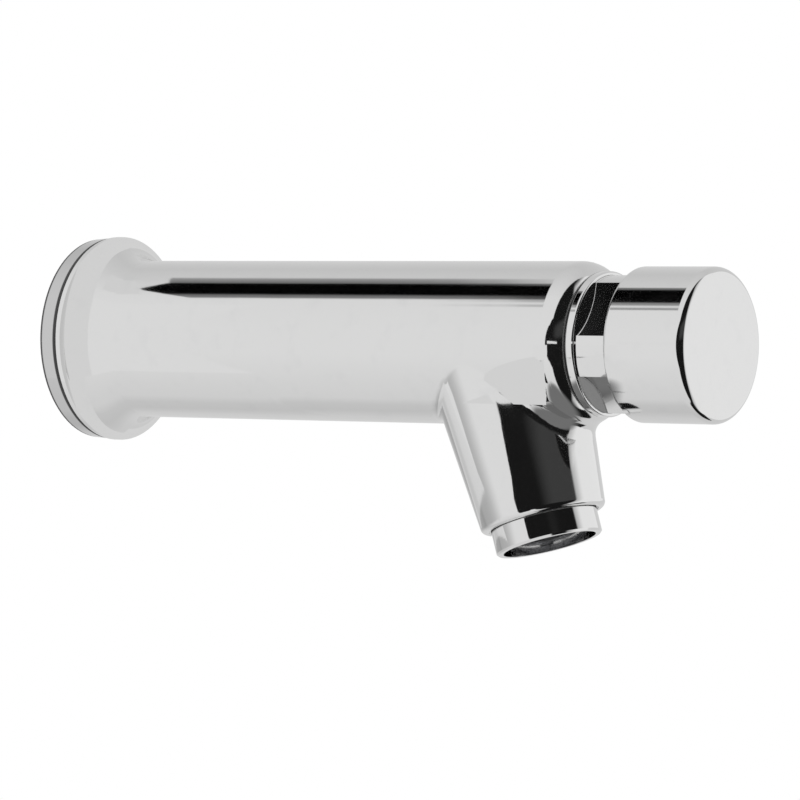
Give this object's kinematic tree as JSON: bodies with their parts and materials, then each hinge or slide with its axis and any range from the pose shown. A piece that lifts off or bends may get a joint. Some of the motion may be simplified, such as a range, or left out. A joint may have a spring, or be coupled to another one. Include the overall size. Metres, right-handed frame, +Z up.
{
  "type": "push timed tap",
  "caption": "Wall-mounted push timed tap: round chromed body on a wall flange, angled spout with aerator, and a push button that returns by spring.",
  "frame": {"origin": "where the tap's axis meets the wall, on the inlet spigot's axis in the plane of the wall ring's back face", "axes": "+X along the tap's axis, out of the wall towards the button; +Z up; the spout points down and forward in the XZ plane"},
  "size_m": [0.1926, 0.0496, 0.0746],
  "materials": {
    "body_chrome": "polished chrome over cast brass",
    "ring_chrome": "polished chrome",
    "bonnet_chrome": "polished chrome over turned brass",
    "collar_chrome": "polished chrome",
    "button_chrome": "polished chrome over turned brass",
    "aerator_chrome": "polished chrome",
    "turned_brass": "machined",
    "rubber": "moulded, matt",
    "spring_steel": "drawn stainless wire",
    "stainless": "stainless, plain",
    "white_plastic": "moulded acetal",
    "grey_plastic": "moulded"
  },
  "bodies": {
    "tap": {"body": "body_chrome", "wall_ring": "ring_chrome", "wall_gasket": "rubber", "inlet_spigot": "turned_brass", "inlet_strainer": "stainless", "spigot_seal": "rubber", "cartridge_cage": "white_plastic", "cage_ring": "rubber", "valve_seat": "turned_brass", "stem_spider": "turned_brass", "spider_clip": "stainless", "metering_pin": "stainless", "return_spring": "spring_steel", "bonnet": "bonnet_chrome", "bonnet_ring": "rubber", "cage_gasket": "rubber", "stem_bush": "white_plastic", "stem_rings": "rubber", "hub_clip": "stainless", "stem_wiper": "rubber", "collar_ring": "collar_chrome", "aerator_housing": "aerator_chrome", "aerator_washer": "rubber", "aerator_insert": "grey_plastic", "flow_regulator": "white_plastic", "aerator_screen": "stainless"},
    "plunger": {"push_button": "button_chrome", "button_insert": "grey_plastic", "insert_ring": "rubber", "stem": "turned_brass", "timing_piston": "white_plastic", "piston_seal": "rubber", "piston_clip": "stainless", "valve_washer": "rubber", "valve_carrier": "turned_brass", "valve_nut": "turned_brass"}
  },
  "joints": [
    {"name": "button_press", "type": "slide", "parent": "tap", "child": "plunger", "axis": [-1, 0, 0], "range_m": [0, 0.007], "stiffness_N_per_m": 600, "springref_m": -0.02, "deforming": ["return_spring"]}
  ]
}
